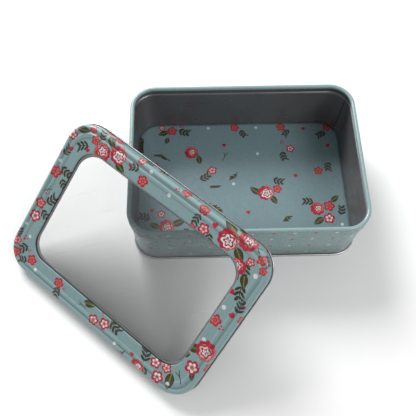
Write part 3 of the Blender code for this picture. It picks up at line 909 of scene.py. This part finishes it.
# Rows of the lid: wear and painted highlights on the shoulder and the ridge, dust and painted shade in
# the groove, and painted shade in the crease and on the lip.
curl = with_wear_and_shading(arc(CURL_CENTRE, CURL_RADIUS, 80, -180, 12), CURL_RUB)
skirt = with_wear_and_shading([(SKIRT_OFFSET, height) for height in SKIRT_HEIGHTS], 0.0)
shoulder = []
for number, point in enumerate(arc(SHOULDER_CENTRE, SHOULDER_RADIUS, 0, 90, 8)):
    shoulder.append((*point, SHOULDER_EDGE_WEAR_AND_HIGHLIGHT if number in SHOULDER_WORN_AND_HIGHLIT else SHOULDER_RUB))
groove_in = swell((GROOVE_OUTER, TOP), (GROOVE_FLOOR_OUTER, GROOVE_FLOOR), 4)
groove_out = swell((GROOVE_FLOOR_INNER, GROOVE_FLOOR), (GROOVE_INNER, TOP), 4)
relief = with_wear_and_shading(groove_in, GROOVE_EDGE_DUST_AND_SHADE)
relief += [(GROOVE_MIDDLE, GROOVE_FLOOR, GROOVE_DUST_AND_SHADE)]
relief += with_wear_and_shading(groove_out, GROOVE_INNER_RUB)
relief += [(CREASE + CREASE_HALF_WIDTH, TOP - CREASE_LIP, RIDGE_WEAR_AND_HIGHLIGHT)]
relief += [(CREASE, TOP - CREASE_DEPTH, CREASE_SHADE)]
relief += [(CREASE - CREASE_HALF_WIDTH, TOP - CREASE_LIP, RIDGE_WEAR_AND_HIGHLIGHT)]
relief += with_wear_and_shading(swell((STEP_OUTER, TOP), (STEP_INNER, BAND), 3), 0.0)
band_rows = [(BAND_OUTER - BAND_PITCH * step, BAND, 0.0) for step in range(BAND_ROWS)]
lip = with_wear_and_shading(arc(LIP_CENTRE, LIP_RADIUS, 90, 180, 5), LIP_RUB)
lip += [(LIP_CENTRE[0] - LIP_RADIUS, LIP_END, LIP_SHADE)]
lid_rows = curl + skirt + shoulder + relief + band_rows + lip

# The print was put on the flat sheet, so it runs on down the shoulder, the skirt and the curl.
fold = len(curl + skirt + shoulder) - 1
fold_points = lid_outline(lid_rows[fold][0], LID_SIDE_STEPS)
beyond = [0.0] * len(lid_rows)
for row in range(fold - 1, -1, -1):
    offset, height, _ = lid_rows[row]
    next_offset, next_height, _ = lid_rows[row + 1]
    beyond[row] = beyond[row + 1] + math.hypot(offset - next_offset, height - next_height)
lid_loops = []
for row, (offset, height, wear_and_shading) in enumerate(lid_rows):
    loop = []
    points = lid_outline(offset, LID_SIDE_STEPS)
    for (x, y, _), (fold_x, fold_y, way) in zip(points, fold_points):
        flat = (x, y, 0.0)
        if row < fold:
            flat = (fold_x + way.x * beyond[row], fold_y + way.y * beyond[row], 0.0)
        loop.append((Vector((x, y, height)), flat, wear_and_shading))
    lid_loops.append(loop)
floral_lid = floral_material("Floral lid enamel", LID_TEAL)
sides = [floral_lid, bare_tin]
lid_frame = add_sheet("lid_sheet", lid_loops, sides, "lid", "lid_frame", place=lid_place)
lay_out_print(lid_frame, "leaves", LID_LEAVES)
lay_out_print(lid_frame, "flowers", LID_FLOWERS)

# ---------------------------------------------------------------------------------------------
# Window film. A flat sheet of clear plastic, caught all round between the frame and the ring.
# It has gone slightly hazy, with a few long faint scratches.
FILM_HAZE = (0.82, 0.83, 0.84, 1.0)

film_clear, tree, shader = new_material("Clear window film")
place = object_place(tree)
wipes = noise(tree, place, 30.0, 5.0, stretch=(1.0, 9.0, 1.0))
haze = spread(tree, noise(tree, place, 14.0, 3.0), 0.35, 0.75, 0.0, 0.035)
scratched = spread(tree, wipes, 0.62, 0.72, 0.0, 0.05)
veil = calc(tree, "ADD", haze, scratched)
shader.inputs["Base Color"].default_value = FILM_HAZE
feed(tree, shader.inputs["Roughness"], spread(tree, wipes, 0.3, 0.7, 0.05, 0.16))
fresnel = tree.nodes.new("ShaderNodeFresnel")
fresnel.inputs["IOR"].default_value = 1.35
clear = tree.nodes.new("ShaderNodeBsdfTransparent")
sheen = tree.nodes.new("ShaderNodeBsdfGlossy")
sheen.inputs["Roughness"].default_value = 0.08
shiny = tree.nodes.new("ShaderNodeMixShader")
feed(tree, shiny.inputs[0], fresnel.outputs[0])
tree.links.new(clear.outputs[0], shiny.inputs[1])
tree.links.new(sheen.outputs[0], shiny.inputs[2])
veiled = tree.nodes.new("ShaderNodeMixShader")
feed(tree, veiled.inputs[0], veil)
tree.links.new(shiny.outputs[0], veiled.inputs[1])
tree.links.new(shader.outputs[0], veiled.inputs[2])
tree.links.new(veiled.outputs[0], tree.nodes["Material Output"].inputs["Surface"])
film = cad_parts["window_film"]
film.data.materials.clear()
film.data.materials.append(film_clear)

# ---------------------------------------------------------------------------------------------
# Window ring. A narrow ring of bare tinplate under the film, held to the frame from inside.
# Its inner edge is rolled under into the bead that shows round the window.
RING_HEIGHT = -2.3
RING_OUTER = -8.7
RING_FLAT_END = -12.0
RING_BEAD_CENTRE = (-16.0, -2.7)
RING_BEAD_RADIUS = 0.4
RING_SIDE_STEPS = (8, 6)

ring_rows = [(RING_OUTER, RING_HEIGHT), (RING_FLAT_END, RING_HEIGHT)]
ring_rows += arc(RING_BEAD_CENTRE, RING_BEAD_RADIUS, 90, 340, 14)
ring_loops = []
for offset, height in ring_rows:
    ring_loops.append([
        (Vector((x, y, height)), (x, y, 0.0), 0.0)
        for x, y, _ in lid_outline(offset, RING_SIDE_STEPS)
    ])
sides = [bare_tin, bare_tin]
ring = add_sheet("ring_sheet", ring_loops, sides, "lid", "window_ring", place=lid_place)

# ---------------------------------------------------------------------------------------------
# Table, light and camera. A plain pale floor, a broad soft light from behind on the left, a
# weaker one from the front right, and a white room all round.
TABLE_SIZE = 6.0
TABLE_DROP = 0.0002
PAPER = (0.86, 0.86, 0.86, 1.0)
PALE_PAPER = (0.89, 0.89, 0.89, 1.0)

floor_mesh = bpy.data.meshes.new("studio_floor")
half = TABLE_SIZE / 2
table_corners = [(-half, -half, 0), (half, -half, 0), (half, half, 0), (-half, half, 0)]
floor_mesh.from_pydata(table_corners, [], [(0, 1, 2, 3)])
studio_floor = bpy.data.objects.new("studio_floor", floor_mesh)
bpy.context.scene.collection.objects.link(studio_floor)
studio_floor.location.z = -TABLE_DROP
floor_paper, tree, shader = new_material("Pale paper")
paper = noise(tree, object_place(tree), 30.0, 3.0)
feed(tree, shader.inputs["Base Color"], layer_colour(tree, paper, PAPER, PALE_PAPER))
shader.inputs["Roughness"].default_value = 0.9
floor_mesh.materials.append(floor_paper)


def add_softbox(name, place, target, size, power):
    """A rectangular area light, turned to its target; places are in metres and power in watts."""
    light = bpy.data.lights.new(name, "AREA")
    light.shape = "RECTANGLE"
    light.size, light.size_y = size
    light.energy = power
    softbox = bpy.data.objects.new(name, light)
    softbox.location = place
    softbox.rotation_euler = (Vector(target) - Vector(place)).to_track_quat("-Z", "Y").to_euler()
    bpy.context.scene.collection.objects.link(softbox)


add_softbox("back_softbox", (-0.45, 0.85, 0.80), (0, 0, 0.03), (0.55, 0.55), 17.0)
add_softbox("front_softbox", (0.60, -0.50, 0.90), (-0.05, 0, 0.03), (0.5, 0.5), 5.0)

world = bpy.data.worlds.new("Studio")
world.use_nodes = True
background = world.node_tree.nodes["Background"]
background.inputs["Color"].default_value = (1.0, 1.0, 1.0, 1.0)
background.inputs["Strength"].default_value = 0.42
bpy.context.scene.world = world
bpy.context.scene.view_settings.view_transform = "Standard"

CAMERA_PLACE = (-0.0331, -0.1814, 0.3729)
CAMERA_YAW = math.radians(2.45)
CAMERA_PITCH = math.radians(66.25)
CAMERA_ROLL = math.radians(1.07)
lens = bpy.data.cameras.new("Camera")
lens.lens = 47.0
lens.sensor_width = 36.0
lens.clip_start = 0.01
camera = bpy.data.objects.new("Camera", lens)
camera.matrix_world = (
    Matrix.Translation(CAMERA_PLACE)
    @ Matrix.Rotation(-CAMERA_YAW, 4, "Z")
    @ Matrix.Rotation(math.pi / 2 - CAMERA_PITCH, 4, "X")
    @ Matrix.Rotation(CAMERA_ROLL, 4, "Z")
)
bpy.context.scene.collection.objects.link(camera)
bpy.context.scene.camera = camera
